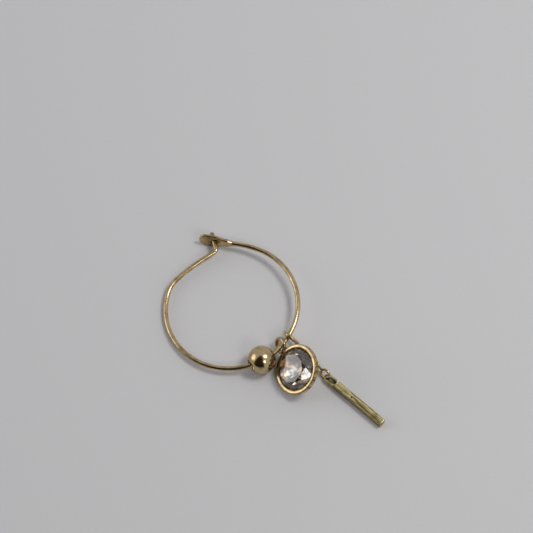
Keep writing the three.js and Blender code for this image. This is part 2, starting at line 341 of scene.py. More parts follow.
def finish(bm, name, node, slot, settings, place=None, crisp=35.0):
    """Puts a shape in place, in metres, as a piece that stands for a node of the frame."""
    if place is not None:
        carry(bm, place)
    bmesh.ops.translate(bm, verts=bm.verts, vec=hoop_origin(settings))
    bmesh.ops.scale(bm, vec=(MM, MM, MM), verts=bm.verts)
    loose = [e for e in bm.edges if len(e.link_faces) != 2]
    if loose:
        raise RuntimeError(f"{name} isn't closed: {len(loose)} loose edges")
    for face in bm.faces:
        face.smooth = True
    for edge in bm.edges:
        edge.smooth = edge.calc_face_angle(0.0) < math.radians(crisp)
    piece = add_piece(bm, name, FINISHES[slot](settings))
    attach(piece, BODY)
    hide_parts(node)
    return piece


# ---- materials ----
# The first three are the tones of painted shade and painted dark reflections in the yellow gold, the green
# gold and the stone; the last is the dark figure's cloth.
GOLD_SHADE_AND_REFLECTION, GREEN_GOLD_SHADE_AND_REFLECTION, STONE_DARK_REFLECTION, DARK_CLOTH = "5A3F1E", "4E431F", "38281F", "241812"
FILED_STRETCH = 9.0  # a filed line is this many times as long as it is wide
BOARD_FIBRE_TONE = 0.93


def add_node(tree, kind, inputs=None, **settings):
    """Adds a node, sets it, and sets or links its inputs."""
    node = tree.nodes.new(kind)
    for key, value in settings.items():
        setattr(node, key, value)
    for key, value in (inputs or {}).items():
        if isinstance(value, bpy.types.NodeSocket):
            tree.links.new(value, node.inputs[key])
        else:
            node.inputs[key].default_value = value
    return node


def new_material(name):
    """An empty node material, and the object's own coordinates in metres."""
    material = bpy.data.materials.new(name)
    material.use_nodes = True
    tree = material.node_tree
    tree.nodes.clear()
    return material, tree, add_node(tree, "ShaderNodeTexCoord").outputs["Object"]


def speckle(tree, place, millimetres, detail, extra=None):
    """Noise whose features are this far apart."""
    inputs = {"Vector": place, "Scale": 1 / (millimetres * MM), "Detail": detail, **(extra or {})}
    return add_node(tree, "ShaderNodeTexNoise", inputs).outputs["Fac"]


def remap(tree, value, low, high, to_low=0.0, to_high=1.0, kind="LINEAR"):
    """One range of a value stretched onto another. SMOOTHSTEP gives it soft ends."""
    inputs = {"Value": value, "From Min": low, "From Max": high, "To Min": to_low, "To Max": to_high}
    return add_node(tree, "ShaderNodeMapRange", inputs, interpolation_type=kind).outputs["Result"]


def blend(tree, share, first, second):
    """The first colour, with this share of the second mixed in."""
    inputs = {0: share, 6: first, 7: second}
    return add_node(tree, "ShaderNodeMix", inputs, data_type="RGBA").outputs[2]


def bump(tree, height, strength, millimetres, under=None):
    """The surface's direction raised by a height, over the direction that another bump gave it."""
    inputs = {"Height": height, "Strength": strength, "Distance": millimetres * MM}
    if under is not None:
        inputs["Normal"] = under
    return add_node(tree, "ShaderNodeBump", inputs).outputs["Normal"]


def painted_shade_and_reflection_share(tree):
    """How much painted shade and painted dark reflection the mesh notes at each place, from 0 to 1."""
    return add_node(tree, "ShaderNodeAttribute", attribute_name="painted_shade_and_reflection").outputs["Fac"]


def close_material(tree, inputs):
    """Ends the material in one principled surface."""
    shader = add_node(tree, "ShaderNodeBsdfPrincipled", inputs)
    add_node(tree, "ShaderNodeOutputMaterial", {"Surface": shader.outputs["BSDF"]})


def polished_gold(settings):
    """Tumbled 14-carat gold: drawn wire and pressed sheet with a bright, slightly uneven polish."""
    name = "tumbled_yellow_gold"
    if name in bpy.data.materials:
        return bpy.data.materials[name]
    material, tree, place = new_material(name)
    # The reflections swim a little where the wire and sheet aren't true: 1.6 mm between rises.
    rises = speckle(tree, place, 1.6, 2.0)
    # Tumbling marks are finer than a tenth of a millimetre; at 0.16 mm they just show as a soft sheen.
    marks = speckle(tree, place, 0.16, 3.0)
    # Handling leaves duller patches about 1.5 mm across.
    patches = speckle(tree, place, 1.5, 4.0, {"Roughness": 0.65, "Distortion": 0.6})
    dull = remap(tree, patches, 0.42, 0.72, kind="SMOOTHSTEP")
    tone = blend(tree, dull, tuple(settings.finish.gold), tuple(settings.finish.tarnish))
    close_material(tree, {
        # Painted shade and painted dark reflections: the marked places are darkened towards a dark brown.
        "Base Color": blend(tree, painted_shade_and_reflection_share(tree), tone, linear(GOLD_SHADE_AND_REFLECTION)),
        "Metallic": 1.0,
        "Roughness": remap(tree, patches, 0.3, 0.7, 0.12, 0.27),
        "Normal": bump(tree, marks, 0.4, 0.003, bump(tree, rises, 0.8, 0.05)),
    })
    return material


def green_gold(settings):
    """Cast green gold, filed and lightly hammered: a satin olive metal with dark filed lines along it."""
    name = "filed_green_gold"
    if name in bpy.data.materials:
        return bpy.data.materials[name]
    material, tree, place = new_material(name)
    turned = add_node(
        tree, "ShaderNodeMapping",
        {"Vector": place, "Rotation": (0.0, 0.0, settings.bar.heading), "Scale": (FILED_STRETCH, 1.0, 1.0)},
        vector_type="TEXTURE",
    ).outputs["Vector"]
    # Filed lines run along the bar; real ones are 0.05 mm apart, drawn at 0.2 mm so that they show.
    lines = speckle(tree, turned, 0.2, 3.0)
    # Hammer facets are about 0.8 mm across.
    dents = speckle(tree, place, 0.8, 2.0)
    low = remap(tree, lines, 0.42, 0.66, kind="SMOOTHSTEP")
    tone = blend(tree, low, tuple(settings.finish.green_gold), tuple(settings.finish.green_dull))
    close_material(tree, {
        # Painted shade and a painted dark reflection: the bar's marked places are darkened towards a dark
        # olive.
        "Base Color": blend(tree, painted_shade_and_reflection_share(tree), tone, linear(GREEN_GOLD_SHADE_AND_REFLECTION)),
        "Metallic": 1.0,
        "Roughness": remap(tree, dents, 0.3, 0.7, 0.26, 0.42),
        "Normal": bump(tree, lines, 0.5, 0.012, bump(tree, dents, 0.5, 0.04)),
    })
    return material


def clear_stone(settings):
    """Cut cubic zirconia with a faint peach tint: bright reflections, and painted dark reflections below
    the table.
    """
    material, tree, place = new_material("cut_zirconia")
    # A worn polish and scuffed facet edges break the reflections into smears about 0.7 mm across.
    smears = speckle(tree, place, 0.7, 3.0)
    # Painted dark reflections: brown and nearly black patches about 1.3 mm across, painted into the stone's
    # colour below the table.
    dark_spots = speckle(tree, place, 1.3, 3.0)
    patches = remap(tree, dark_spots, 0.46, 0.58, kind="SMOOTHSTEP")
    behind = add_node(tree, "ShaderNodeMath", {0: patches, 1: painted_shade_and_reflection_share(tree)}, operation="MULTIPLY")
    close_material(tree, {
        "Base Color": blend(
            tree, behind.outputs["Value"], tuple(settings.finish.stone), linear(STONE_DARK_REFLECTION)
        ),
        "Roughness": remap(tree, smears, 0.35, 0.75, 0.06, 0.12),
        "IOR": 2.16,
        "Specular IOR Level": 0.28,
        "Transmission Weight": 1.0,
        "Normal": bump(tree, smears, 0.7, 0.035),
    })
    return material


def pale_board(settings):
    """Uncoated pale card: matt, with a fibre grain that only breaks up its tone."""
    material, tree, place = new_material("pale_card")
    # Paper fibres are about 0.05 mm; at 0.3 mm they give the board a just visible tooth.
    fibres = speckle(tree, place, 0.3, 4.0)
    shade = tuple(BOARD_FIBRE_TONE * c for c in settings.finish.board[:3]) + (1.0,)
    close_material(tree, {
        "Base Color": blend(tree, fibres, tuple(settings.finish.board), shade),
        "Roughness": 0.75,
        "Normal": bump(tree, fibres, 0.3, 0.02),
    })
    return material


FINISHES = {"polished_gold": polished_gold, "green_gold": green_gold, "clear_stone": clear_stone}


def dark_cloth():
    """Plain dark brown cloth, seen only as a soft dark reflection in the metal."""
    material, tree, _ = new_material("dark_cloth")
    close_material(tree, {"Base Color": linear(DARK_CLOTH), "Roughness": 0.9})
    return material


# ---- the hoop ----
HOOK_TIP = Vector((-2.28, 12.1))
BEND = {"x": -2.25, "y": 9.34, "radius": 0.5, "start": 13.5, "end": -62.0}
HOOK_PULLS = (Vector((-4.84, 7.4)), Vector((-8.23, 5.37)))
ROUND_FROM, ROUND_TO = 158.0, 422.0
PADDLE_PULL = Vector((2.57, 9.56))
PADDLE_START, PADDLE_END, PADDLE_HOLE = Vector((0.6, 9.95)), Vector((-4.1, 11.3)), Vector((-2.12, 10.73))
PADDLE_ROUND = 1.0
PADDLE_EDGE = 0.15
# Distance from the paddle's end, share of its half width, half thickness, flatness of sides, twist.
PADDLE_PROFILE = (
    (0.0, 1.18, 0.23, 0.5, 14.0),
    (2.2, 1.18, 0.25, 0.5, 14.0),
    (4.2, 0.74, 0.32, 0.6, 10.0),
    (5.1, 0.4, 0.35, 0.9, 4.0),
    (5.9, 0.35, 0.35, 1.0, 0.0),
)
HOOP_STEPS = (22, 24, 44, 330, 24, 80)
HOOP_SIDES = 32
# The punch that pierces the clasp: its reach, its flare past the hole, and the chamfer it leaves.
PUNCH = {"reach": 1.0, "flare": 0.8, "chamfer": 0.08, "outer": 0.24, "inner": 0.15}
# Painted shade round the clasp's hole, where the hook crosses the paddle: its strength and where it fades.
CLASP_SHADE, CLASP_SHADE_NEAR, CLASP_SHADE_FAR = 0.5, 0.75, 1.7


def bezier(points, t):
    """A point of the curve through the first and last of these points, pulled by the others."""
    while len(points) > 1:
        points = [a.lerp(b, t) for a, b in zip(points, points[1:])]
    return points[0]


def hoop_centreline(radius):
    """The wire's stretches in the hoop's plane, from the hook's tip round to the paddle's end."""
    bend = (BEND["x"], BEND["y"], BEND["radius"])
    turn_in, turn_out = on_circle(*bend, BEND["start"]), on_circle(*bend, BEND["end"])
    round_in, round_out = on_circle(0, 0, radius, ROUND_FROM), on_circle(0, 0, radius, ROUND_TO)
    return (
        lambda t: HOOK_TIP.lerp(turn_in, t),
        lambda t: on_circle(*bend, BEND["start"] + (BEND["end"] - BEND["start"]) * t),
        lambda t: bezier([turn_out, *HOOK_PULLS, round_in], t),
        lambda t: on_circle(0, 0, radius, ROUND_FROM + (ROUND_TO - ROUND_FROM) * t),
        lambda t: bezier([round_out, PADDLE_PULL, PADDLE_START], t),
        lambda t: PADDLE_START.lerp(PADDLE_END, t),
    )


def hoop_stations(radius):
    """Points along the wire, with direction and distance from the tip and from the paddle's end."""
    stretches = hoop_centreline(radius)
    points = []
    for i, (stretch, steps) in enumerate(zip(stretches, HOOP_STEPS)):
        for k in range(1 if i else 0, steps + 1):
            t = k / steps
            if i == 0:
                t = 1 - math.cos(t * math.pi / 2)
            if i == len(stretches) - 1:
                t = math.sin(t * math.pi / 2)
            points.append(stretch(t))
    gone = [0.0]
    for a, b in zip(points, points[1:]):
        gone.append(gone[-1] + (b - a).length)
    stations = []
    for i, point in enumerate(points):
        along = points[min(i + 1, len(points) - 1)] - points[max(i - 1, 0)]
        stations.append((point, along.normalized(), gone[i], gone[-1] - gone[i]))
    return stations


def paddle_row(distance):
    """Half width, half thickness, flatness and twist at a distance from the paddle's end."""
    for low, high in zip(PADDLE_PROFILE, PADDLE_PROFILE[1:]):
        if distance < high[0]:
            t = smoothstep(distance, low[0], high[0])
            return [a + (b - a) * t for a, b in zip(low[1:], high[1:])]
    return list(PADDLE_PROFILE[-1][1:])


def rounded_end(distance, radius):
    d = min(distance / radius, 1.0)
    return max(math.sqrt(d * (2 - d)), 0.03)


def squarer(value, power):
    return math.copysign(abs(value) ** power, value)


class EARRING_OT_hoop(bpy.types.Operator):
    """Draws the hoop's wire from its hook round to the flattened clasp and pierces the clasp"""

    bl_idname = "earring.add_hoop"
    bl_label = "Add Hoop and Clasp"

    def execute(self, context):
        s = context.scene.earring
        wire = mm(s.hoop.wire)
        widen = mm(s.hoop.paddle_width) / PADDLE_PROFILE[0][1]

        def section(station, unit):
            point, along, from_tip, from_end = station
            wide, thick, power, twist = paddle_row(from_end)
            if from_end < PADDLE_PROFILE[-2][0]:
                wide *= widen
            tip = rounded_end(from_tip, wire)
            across = -squarer(unit.x, power) * tip * thick * rounded_end(from_end, PADDLE_EDGE)
            rise = squarer(unit.y, power) * tip * wide * rounded_end(from_end, PADDLE_ROUND)
            turn = -math.radians(twist)
            side = across * math.cos(turn) - rise * math.sin(turn)
            up = across * math.sin(turn) + rise * math.cos(turn)
            return Vector((point.x + along.y * side, point.y - along.x * side, up))

        bm = bmesh.new()
        stations = hoop_stations(mm(s.hoop.radius))
        half = len(stations) // 2
        sweep(bm, stations[half:], HOOP_SIDES, section)
        hole = mm(s.hoop.paddle_hole)
        cutter = bmesh.new()
        rim = [
            (0.0, -PUNCH["reach"]),
            (hole + PUNCH["flare"], -PUNCH["reach"]),
            (hole + PUNCH["chamfer"], -PUNCH["outer"]),
            (hole, -PUNCH["inner"]),
        ]
        lathe(cutter, rim + [(r, -z) for r, z in reversed(rim)], 48)
        along = (PADDLE_END - PADDLE_START).normalized()
        through = Vector((along.y, -along.x, 0.0))
        centre = PADDLE_HOLE.to_3d()
        carry(cutter, facing(through, centre))
        cut_away(bm, cutter)
        hook = bmesh.new()
        sweep(hook, stations[: half + 1], HOOP_SIDES, section)
        join(bm, hook)
        weld_halves(bm)

        # Painted shade, darkest at the hole and fading out round it.
        def clasp_shade(at):
            return CLASP_SHADE * (1 - smoothstep((at - centre).length, CLASP_SHADE_NEAR, CLASP_SHADE_FAR))

        painted_shade_and_reflection(bm, clasp_shade)
        finish(bm, "hoop_and_clasp", "hoop_wire", "polished_gold", s, hoop_place(s))
        return {"FINISHED"}


def weld_halves(bm):
    """Joins the two lengths of wire where their end rings meet, and takes out the two caps between them."""
    bmesh.ops.remove_doubles(bm, verts=bm.verts, dist=1e-4)
    caps = [
        f for f in bm.faces
        if len(f.verts) == HOOP_SIDES and all(len(e.link_faces) > 2 for e in f.edges)
    ]
    bmesh.ops.delete(bm, geom=caps, context="FACES_ONLY")


def hoop_place(s):
    return Matrix.Translation((0, 0, mm(s.hoop.height))) @ Matrix.Rotation(-s.hoop.slope, 4, "Y")


def hoop_point(s, turn):
    """A point of the hoop's centreline and its outward direction."""
    out = Vector((math.cos(turn), math.sin(turn), 0.0))
    out.rotate(Matrix.Rotation(-s.hoop.slope, 3, "Y"))
    return out * mm(s.hoop.radius) + Vector((0, 0, mm(s.hoop.height))), out


# ---- the bead ----
BEAD_STEPS = 112
# Degrees round the bead's section: where its outside and inside stop short of the hole's rolled edge, how
# far past the outside the middle of that edge lies, and the edge's own arc.
BEAD_SHORT_OUTSIDE, BEAD_SHORT_INSIDE, BEAD_ROLL_PAST, BEAD_ROLL = 3.5, 6, 0.6, (40, 190)
BEAD_ROLL_SHARE = 0.9  # of half the sheet's thickness


class EARRING_OT_bead(bpy.types.Operator):
    """Presses the hollow bead with rolled edges at its two holes"""

    bl_idname = "earring.add_bead"
    bl_label = "Add Bead"

    def execute(self, context):
        s = context.scene.earring
        radius, hole, wall = mm(s.bead.radius), mm(s.bead.hole), mm(s.bead.wall)
        edge = math.degrees(math.acos(hole / radius)) - BEAD_SHORT_OUTSIDE
        inner = math.degrees(math.acos((hole + 0.05) / (radius - wall)))
        middle = on_circle(0, 0, radius - wall / 2, edge + BEAD_ROLL_PAST)
        low, high = (edge + turn for turn in BEAD_ROLL)
        rolled = arc(*middle, wall / 2 * BEAD_ROLL_SHARE, low, high, 8)
        inner -= BEAD_SHORT_INSIDE
        profile = arc(0, 0, radius, -edge, edge, 56) + rolled
        profile += arc(0, 0, radius - wall, inner, -inner, 30)
        profile += [(x, -y) for x, y in reversed(rolled)]
        bm = bmesh.new()
        lathe(bm, profile, BEAD_STEPS)
        level = math.cos(s.bead.tilt)
        axis = Vector((level * math.cos(s.bead.turn), level * math.sin(s.bead.turn), math.sin(s.bead.tilt)))
        point, _ = hoop_point(s, s.bead.place)
        place = facing(axis, Vector((point.x, point.y, radius)))
        finish(bm, "hollow_bead", "round_bead", "polished_gold", s, place)
        return {"FINISHED"}


# ---- the bezel cup and its stone ----
def cup_place(s):
    """The frame of the cup: Z is its axis and its rim is at height 0."""
    slope, lean = s.setting.slope, s.setting.lean
    normal = Vector((math.sin(slope) * math.cos(lean), math.sin(slope) * math.sin(lean), math.cos(slope)))
    level = normal.cross(UP).normalized()
    down = normal.cross(level)
    rim = mm(s.setting.radius) * math.sin(slope) + mm(s.setting.collar) * math.cos(slope)
    turn = Matrix((level, down, normal)).transposed().to_4x4()
    return Matrix.Translation((mm(s.setting.x), mm(s.setting.y), rim)) @ turn


CUP_INSIDE = 3.32
CUP_STEPS = 252
RIM_CROWN = 0.09
BURNISH_MARKS, BURNISH_DEPTH = 34, 0.06
BURNISH_TOP = 0.08
BURNISH_SPREAD, BURNISH_UNEVEN = 2.3, 0.8
# Strengths of the painted shade in the rim's inner corner and on the rim's top, and of the painted dark
# reflections in the collar's strips.
LIP_SHADE, RIM_TOP_SHADE, STRIP_REFLECTION = 0.6, 0.22, 0.7
LIP_FADE, STRIP_FADE, STRIP_SPREAD = (0.02, 0.08), (0.05, 0.3), 9


def burnish(bm, radius, collar):
    """Presses the flat marks of the burnisher, side by side, into the collar under the rim."""
    for v in bm.verts:
        around = math.hypot(v.co.x, v.co.y)
        if around < radius - 0.03 or v.co.z > -BURNISH_TOP or v.co.z < -collar:
            continue
        turn = math.atan2(v.co.y, v.co.x)
        uneven = 1 + BURNISH_UNEVEN * noise.noise(polar(BURNISH_SPREAD, turn, 4.1))
        down = min(max((-BURNISH_TOP - v.co.z) / (collar - 0.1), 0), 1)
        middle = math.sin(math.pi * down) ** 0.5
        pressed = BURNISH_DEPTH * uneven * middle * abs(math.sin(turn * BURNISH_MARKS / 2 + 1.5 * uneven))
        share = 1 - pressed / around
        v.co = (v.co.x * share, v.co.y * share, v.co.z)


def collar_shade_and_reflection(at, radius, lip, collar):
    """Painted shade in the inner corner of the rim and more lightly over the rim's top, and painted dark
    reflections in the strips between the burnisher's marks.
    """
    around = math.hypot(at.x, at.y)
    turn = math.atan2(at.y, at.x)
    # Painted shade in the corner where the rim meets the stone.
    if around < lip + 0.12 and at.z > -0.2:
        return LIP_SHADE * (1 - smoothstep(around, lip + LIP_FADE[0], lip + LIP_FADE[1]))
    # Painted shade over the rim's top, which dulls the lamp's reflection there.
    if at.z > -0.1 and around > lip:
        return RIM_TOP_SHADE
    # Painted dark reflections in strips round the collar.
    if radius - 0.15 < around < radius + 0.01 and -collar < at.z < -0.1:
        strips = noise.noise(polar(STRIP_SPREAD, turn, 1.7))
        return STRIP_REFLECTION * smoothstep(strips, *STRIP_FADE)
    return 0.0


RING_TURN, RING_AROUND, RING_DROP = 25.0, 17.0, 0.2
SOLDER_SIZE = (0.2, 0.42, 0.24)
COLLAR_HEIGHTS = (-0.17, -0.25, -0.35, -0.45, -0.55)


class EARRING_OT_setting(bpy.types.Operator):
    """Spins the bezel cup with its rolled rim and solders its ring to the collar"""

    bl_idname = "earring.add_setting"
    bl_label = "Add Bezel Setting"

    def execute(self, context):
        s = context.scene.earring
        radius, lip, collar = mm(s.setting.radius), mm(s.setting.lip), mm(s.setting.collar)
        back, wall, slope = mm(s.setting.back), mm(s.setting.wall), s.setting.slope
        inward = wall / math.cos(slope)

        def depth(r):
            return -collar - (radius - r) * math.tan(slope)

        rim, half = (lip + radius) / 2, (radius - lip) / 2
        # The rolled rim, from the stone outwards.
        profile = [(lip + 0.02, -0.13)]
        profile += [(rim + half * p.x, RIM_CROWN * (p.y - 1)) for p in arc(0, 0, 1.0, 168, 4, 16)]
        # The straight collar, the sloping back and the broken edges of the opening behind.
        profile += [(radius, z) for z in (*COLLAR_HEIGHTS, -collar + 0.05)]
        profile += [(radius - 0.05, depth(radius - 0.05) - 0.01)]
        down_back = [radius + (back - radius) * t for t in (0.3, 0.6, 0.96)]
        profile += [(r, depth(r)) for r in down_back]
        profile += [(back - 0.02, depth(back) + 0.03), (back - 0.14, depth(back) + inward * 0.4)]
        profile += [(back - 0.2, depth(back) + inward - 0.14), (back - 0.05, depth(back) + inward - 0.02)]
        # Up the inside to the underside of the rim.
        profile += [(CUP_INSIDE - 0.05, depth(CUP_INSIDE) + inward - 0.05)]
        profile += [(CUP_INSIDE, depth(CUP_INSIDE) + inward + 0.05), (CUP_INSIDE, -0.26)]
        bm = bmesh.new()
        lathe(bm, profile, CUP_STEPS)
        burnish(bm, radius, collar)
        out = mm(s.setting.ring_out)
        ring = bmesh.new()
        wire_ring(ring, mm(s.setting.ring), mm(s.setting.ring_wire), 72)
        around = Matrix.Rotation(math.radians(RING_AROUND), 4, "Z")
        place = around @ Matrix.Translation((out, 0, -RING_DROP))
        tilt = Matrix.Rotation(-math.radians(RING_TURN), 4, "X")
        carry(ring, place @ tilt)
        join(bm, ring)
        solder = bmesh.new()
        bmesh.ops.create_uvsphere(solder, u_segments=24, v_segments=14, radius=1.0)
        bmesh.ops.scale(solder, vec=SOLDER_SIZE, verts=solder.verts)
        bmesh.ops.translate(solder, vec=(radius - out, 0, 0), verts=solder.verts)
        carry(solder, place)
        join(bm, solder)
        # Painted shade and painted dark reflections on the rim and collar.
        painted_shade_and_reflection(bm, lambda at: collar_shade_and_reflection(at, radius, lip, collar))
        finish(bm, "bezel_cup", "bezel_setting", "polished_gold", s, cup_place(s))
        return {"FINISHED"}


STAR_RADIUS = 2.5
LOWER_TIP = 0.8
POINT_RADIUS, POINT_BLUNT = 0.05, 0.04
DOME_RINGS, DOME_REACH = 8, 0.93
# How far below the table the painted dark reflections start.
DARK_BELOW_TABLE = 0.3
EIGHTH = math.pi / 4


def cut_facet(bm, a, b, c, middle):
    """Cuts away what lies beyond the plane through three points, seen from the stone's middle."""
    normal = (b - a).cross(c - a).normalized()
    if normal.dot(middle - a) > 0:
        normal.negate()
    geometry = bm.verts[:] + bm.edges[:] + bm.faces[:]
    made = bmesh.ops.bisect_plane(
        bm, geom=geometry, dist=1e-5, plane_co=a, plane_no=normal, clear_outer=True, clear_inner=False
    )
    edges = [g for g in made["geom_cut"] if isinstance(g, bmesh.types.BMEdge)]
    if len(edges) > 2:
        bmesh.ops.edgeloop_fill(bm, edges=edges)


def cut_half(bm, stone_radius, girdle, inner_radius, inner_z, tip_radius, stars, middle):
    """Eight rounds of one half's main, girdle and, where asked for, star facets."""
    slope = (inner_z - girdle) / (stone_radius - inner_radius)
    tip_z = inner_z - slope * (tip_radius * math.cos(EIGHTH / 2) - inner_radius)
    for k in range(8):
        turn = k * EIGHTH
        low = polar(stone_radius, turn, girdle)
        side = polar(1.0, turn + math.pi / 2, 0.0)
        inner = polar(inner_radius, turn, inner_z)
        cut_facet(bm, low, low + side, inner, middle)
        tip = polar(tip_radius, turn + EIGHTH / 2, tip_z)
        between = polar(stone_radius, turn + EIGHTH / 2, girdle)
        cut_facet(bm, low, between, tip, middle)
        cut_facet(bm, between, polar(stone_radius, turn + EIGHTH, girdle), tip, middle)
        if stars:
            cut_facet(bm, inner, polar(inner_radius, turn + EIGHTH, inner_z), tip, middle)


def dome_table(bm, radius, rise):
    """Insets the top facet in rings that rise towards its middle, as a worn, slightly domed table does."""
    table = max(bm.faces, key=lambda f: f.calc_center_median().z)
    for k in range(1, DOME_RINGS):
        before, after = 1 - (k - 1) / DOME_RINGS, 1 - k / DOME_RINGS
        bmesh.ops.inset_region(
            bm, faces=[table], thickness=radius * DOME_REACH / DOME_RINGS,
            depth=rise * (before**2 - after**2), use_even_offset=True,
        )


class EARRING_OT_stone(bpy.types.Operator):
    """Cuts the round brilliant: table, stars, mains and girdle facets over a deep pavilion"""

    bl_idname = "earring.add_stone"
    bl_label = "Add Stone"

    def execute(self, context):
        s = context.scene.earring
        radius = mm(s.stone.radius)
        girdle_top = -mm(s.stone.depth)
        girdle_bottom = girdle_top - mm(s.stone.girdle)
        table = girdle_top + mm(s.stone.crown)
        point = girdle_bottom - mm(s.stone.pavilion)
        middle = Vector((0, 0, (girdle_top + girdle_bottom) / 2))
        bm = bmesh.new()
        bmesh.ops.create_cone(
            bm, cap_ends=True, cap_tris=False, segments=96, radius1=radius, radius2=radius,
            depth=table - point, matrix=Matrix.Translation((0, 0, (table + point) / 2)),
        )
        cut_half(bm, radius, girdle_top, mm(s.stone.table), table, STAR_RADIUS, True, middle)
        cut_half(bm, radius, girdle_bottom, POINT_RADIUS, point + POINT_BLUNT, LOWER_TIP, False, middle)
        bmesh.ops.remove_doubles(bm, verts=bm.verts, dist=2e-3)
        bmesh.ops.delete(bm, geom=bm.faces[:], context="FACES_ONLY")
        bmesh.ops.delete(bm, geom=bm.edges[:], context="EDGES_FACES")
        # The hull of the cut corners closes the stone. Points that it doesn't need are removed.
        hull = bmesh.ops.convex_hull(bm, input=bm.verts[:])
        spare = list(dict.fromkeys(
            g for g in hull["geom_interior"] + hull["geom_unused"] if isinstance(g, bmesh.types.BMVert)
        ))
        bmesh.ops.delete(bm, geom=spare, context="VERTS")
        bmesh.ops.dissolve_limit(
            bm, angle_limit=math.radians(0.4), verts=bm.verts[:], edges=bm.edges[:],
            use_dissolve_boundaries=False,
        )
        bmesh.ops.recalc_face_normals(bm, faces=bm.faces)
        dome_table(bm, mm(s.stone.table), mm(s.stone.dome))
        # Painted dark reflections: everything deeper than this below the table is marked for the dark
        # patches.
        painted_shade_and_reflection(bm, lambda at: 1.0 if at.z < table - DARK_BELOW_TABLE else 0.0)
        finish(bm, "brilliant_stone", "round_stone", "clear_stone", s, cup_place(s), crisp=2.5)
        return {"FINISHED"}


# ---- the two jump rings ----
UPPER_NORMAL = Vector((0.69, 0.66, 0.29))
UPPER_OUTWARD, UPPER_FALL = 0.38, 0.35
LOWER_ALONG, LOWER_ASIDE = 0.02, 0.074
LOWER_LEAN, LOWER_TURN = math.radians(23.0), math.radians(4.05)
RING_GAP = 2.6
RING_STEPS = 84
UPPER_SEAM, LOWER_SEAM = 200, 120


def bar_place(s):
    return Matrix.Translation((mm(s.bar.x), mm(s.bar.y), 0)) @ Matrix.Rotation(s.bar.heading, 4, "Z")


def upper_ring_place(s):
    point, out = hoop_point(s, s.rings.place)
    normal = UPPER_NORMAL.normalized()
    pull = out - UP * UPPER_FALL
    pull = (pull - normal * pull.dot(normal)).normalized()
    return facing(normal, point + pull * UPPER_OUTWARD)


def lower_ring_place(s):
    height = mm(s.rings.lower) * math.cos(LOWER_LEAN) + mm(s.rings.lower_wire) + 0.01
    normal = Vector((0, -math.cos(LOWER_LEAN), math.sin(LOWER_LEAN)))
    normal.rotate(Matrix.Rotation(LOWER_TURN, 3, "Z"))
    normal.rotate(Matrix.Rotation(s.bar.heading, 3, "Z"))
    return facing(normal, bar_place(s) @ Vector((LOWER_ALONG, LOWER_ASIDE, height)))


class EARRING_OT_rings(bpy.types.Operator):
    """Closes the two jump rings, each with the fine seam where its ends meet"""

    bl_idname = "earring.add_rings"
    bl_label = "Add Jump Rings"

    def execute(self, context):
        s = context.scene.earring
        r = s.rings
        rings = (
            ("hoop_jump_ring", "chain_jump_ring", r.upper, r.upper_wire, upper_ring_place(s), UPPER_SEAM),
            ("bar_holding_ring", "bar_jump_ring", r.lower, r.lower_wire, lower_ring_place(s), LOWER_SEAM),
        )
        for name, node, radius, wire, place, seam in rings:
            bm = bmesh.new()
            wire_ring(bm, mm(radius), mm(wire), RING_STEPS, RING_GAP)
            turned = place @ Matrix.Rotation(math.radians(seam), 4, "Z")
            finish(bm, name, node, "polished_gold", s, turned)
        return {"FINISHED"}


# ---- the chain ----
CHAIN_ROUTE = (
    (9.05, -6.95, 1.15),
    (9.7, -7.6, 0.68),
    (10.7, -8.35, 0.54),
    (11.45, -9.1, 0.56),
    (11.75, -9.75, 0.7),
)
LINK_ROLLS = (-52, 38)
LINK_STEPS, LINK_SIDES = 40, 14


def nearest_on_ring(place, radius, target):
    """The point of a ring's centreline nearest a target."""
    local = place.inverted() @ target
    local.z = 0
    return place @ (local.normalized() * radius)


class EARRING_OT_chain(bpy.types.Operator):
    """Links the short cable chain from the hoop's ring to the bar's ring"""

    bl_idname = "earring.add_chain"
    bl_label = "Add Chain"

    def execute(self, context):
        s = context.scene.earring
        route = [Vector(p) for p in CHAIN_ROUTE]
        start = nearest_on_ring(upper_ring_place(s), mm(s.rings.upper), route[0])
        end = nearest_on_ring(lower_ring_place(s), mm(s.rings.lower), route[-1])
        route = [start, *route[1:-1], end]
        gone = [0.0]
        for a, b in zip(route, route[1:]):
            gone.append(gone[-1] + (b - a).length)
        count = s.chain.links

        def at(distance):
            for i, (low, high) in enumerate(zip(gone, gone[1:])):
                if distance <= high or i == len(gone) - 2:
                    return route[i].lerp(route[i + 1], (distance - low) / (high - low))

        joints = [at(gone[-1] * k / count) for k in range(count + 1)]
        bm = bmesh.new()
        wire, width = mm(s.chain.wire), mm(s.chain.width)
        for k, (a, b) in enumerate(zip(joints, joints[1:])):
            link = bmesh.new()
            wire_ring(link, width, wire, LINK_STEPS, sides=LINK_SIDES)
            pull_apart(link, max((b - a).length / 2 - width + wire, 0.05))
            along = (b - a).normalized()
            side = UP.cross(along).normalized()
            turn = Matrix((along, side, along.cross(side))).transposed().to_4x4()
            roll = Matrix.Rotation(math.radians(LINK_ROLLS[k % 2]), 4, "X")
            carry(link, Matrix.Translation((a + b) / 2) @ turn @ roll)
            join(bm, link)
        finish(bm, "cable_chain", "bar_chain", "green_gold", s)
        return {"FINISHED"}


